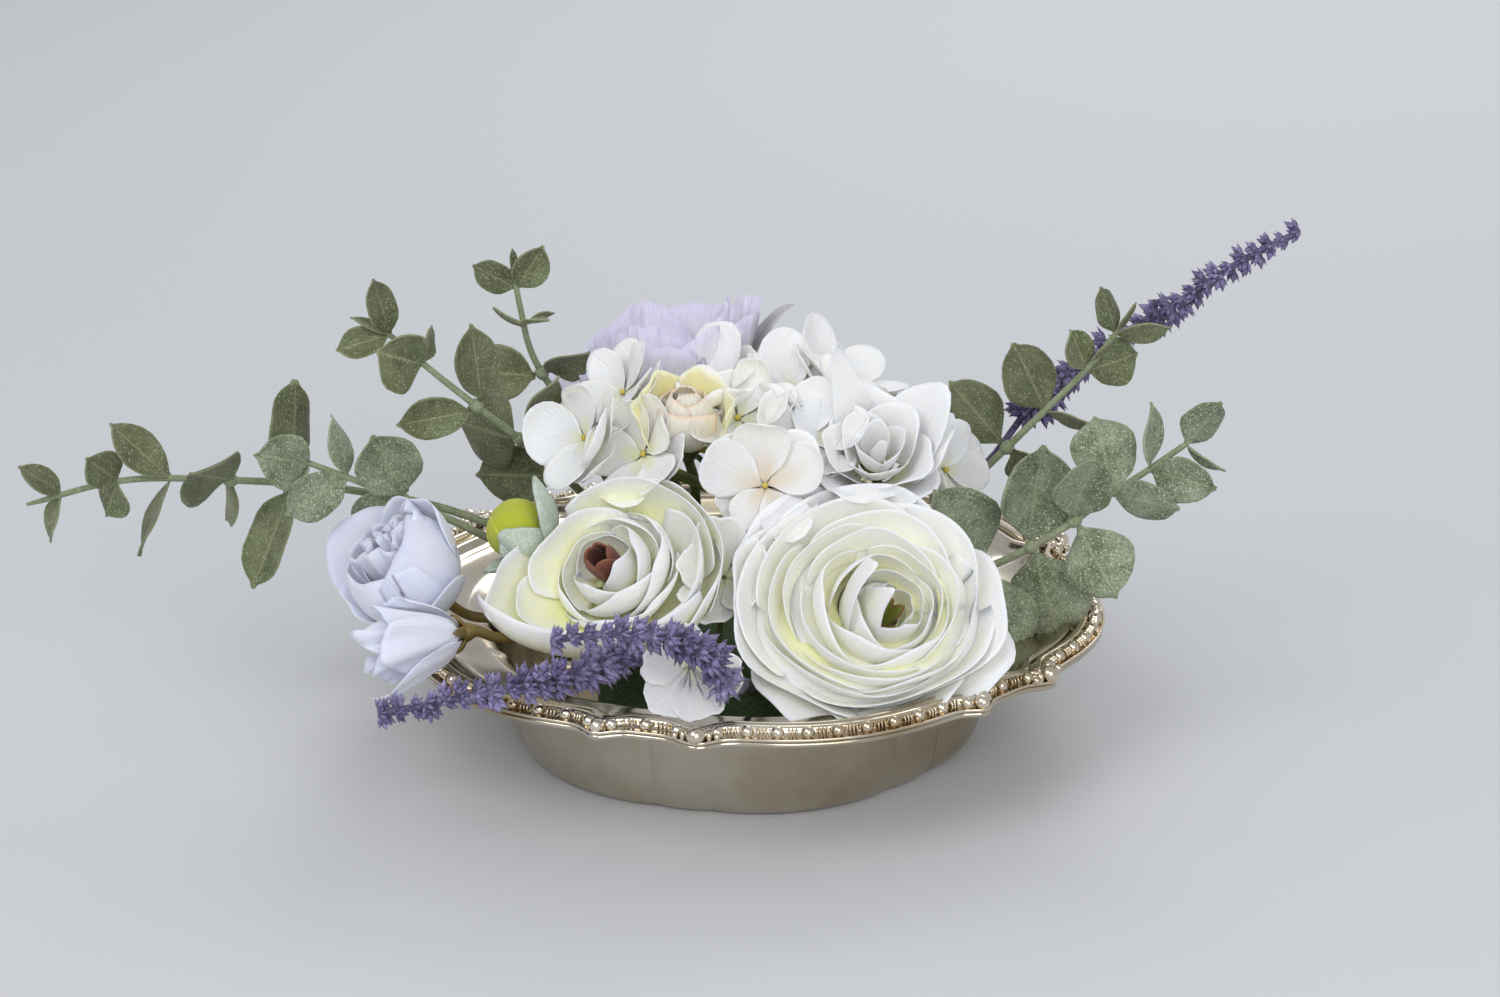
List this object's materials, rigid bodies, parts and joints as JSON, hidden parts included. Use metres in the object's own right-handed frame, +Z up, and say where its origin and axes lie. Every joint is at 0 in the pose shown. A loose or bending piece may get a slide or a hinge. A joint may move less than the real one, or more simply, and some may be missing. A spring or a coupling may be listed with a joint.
{
  "type": "floral table centerpiece",
  "caption": "Low table centerpiece of fabric ranunculus, hydrangea, rosebuds, eucalyptus sprigs and lavender, set in foam in a silver-plated scalloped dish with a beaded rim.",
  "frame": {"origin": "middle of the dish's flat underside", "axes": "+Z up from the table, +X to the viewer's right along the arrangement's length, -Y towards the viewer"},
  "size_m": [0.3514, 0.2012, 0.1349],
  "materials": {
    "silver_plate": "polished silver plate, slightly warm",
    "floral_foam": "open-cell foam, matt",
    "cream_petal": "soft woven petal fabric, yellow-green at the base",
    "white_petal": "soft woven petal fabric",
    "cool_petal": "soft woven petal fabric, bluish white",
    "lilac_petal": "thin pleated petal fabric, pale lilac",
    "bud_petal": "soft petal fabric, peach and yellow",
    "lime_bud": "smooth lime green",
    "maroon_eye": "matt maroon brown",
    "frost_sepal": "frosted pale green",
    "stem_green": "matt olive green",
    "stem_brown": "matt olive brown",
    "sage_leaf": "frosted sage green with a fine sparkle",
    "lavender_flock": "flocked violet with pale highlights"
  },
  "bodies": {
    "root": {"bowl_body": "silver_plate", "eucalyptus_back_leaves_1": "sage_leaf", "eucalyptus_back_stem": "sage_leaf", "eucalyptus_left_frosted_leaves_1": "sage_leaf", "eucalyptus_left_frosted_stem": "sage_leaf", "eucalyptus_left_long_leaves_1": "sage_leaf", "eucalyptus_left_long_leaves_2": "sage_leaf", "eucalyptus_left_long_stem": "sage_leaf", "eucalyptus_left_upper_leaves_1": "sage_leaf", "eucalyptus_left_upper_leaves_2": "sage_leaf", "eucalyptus_left_upper_leaves_3": "sage_leaf", "eucalyptus_left_upper_stem": "sage_leaf", "eucalyptus_right_front_leaves_1": "sage_leaf", "eucalyptus_right_front_leaves_2": "sage_leaf", "eucalyptus_right_front_leaves_3": "sage_leaf", "eucalyptus_right_front_stem": "sage_leaf", "eucalyptus_right_upper_leaves_1": "sage_leaf", "eucalyptus_right_upper_stem": "sage_leaf", "foam_block": "floral_foam", "front_blossom_lower": "white_petal", "front_blossom_upper": "white_petal", "green_bud_core": "lime_bud", "green_bud_sepals": "frost_sepal", "green_bud_stem": "stem_green", "half_open_bloom_petals": "cool_petal", "half_open_bloom_stem": "stem_brown", "hydrangea_floret_1": "white_petal", "hydrangea_floret_10": "white_petal", "hydrangea_floret_2": "white_petal", "hydrangea_floret_3": "white_petal", "hydrangea_floret_4": "white_petal", "hydrangea_floret_5": "white_petal", "hydrangea_floret_6": "white_petal", "hydrangea_floret_7": "white_petal", "hydrangea_floret_8": "white_petal", "hydrangea_floret_9": "white_petal", "hydrangea_stem": "stem_green", "lavender_front": "lavender_flock", "lavender_middle": "lavender_flock", "lavender_right": "lavender_flock", "lilac_bloom_petals": "lilac_petal", "lilac_bloom_stem": "stem_green", "peach_bud_petals": "bud_petal", "peach_bud_stem": "stem_green", "peony_inner_petals": "cool_petal", "peony_outer_petals": "cool_petal", "peony_stem": "stem_brown", "ranunculus_large_eye": "lime_bud", "ranunculus_large_inner_petals": "cream_petal", "ranunculus_large_middle_petals": "cream_petal", "ranunculus_large_outer_petals": "cream_petal", "ranunculus_large_stem": "stem_green", "ranunculus_small_eye": "maroon_eye", "ranunculus_small_inner_petals": "cream_petal", "ranunculus_small_outer_petals": "cream_petal", "ranunculus_small_stem": "stem_green", "rim_border": "silver_plate", "rose_small_heart": "white_petal", "rose_small_outer_petals": "white_petal", "rose_small_stem": "stem_green"}
  },
  "joints": []
}
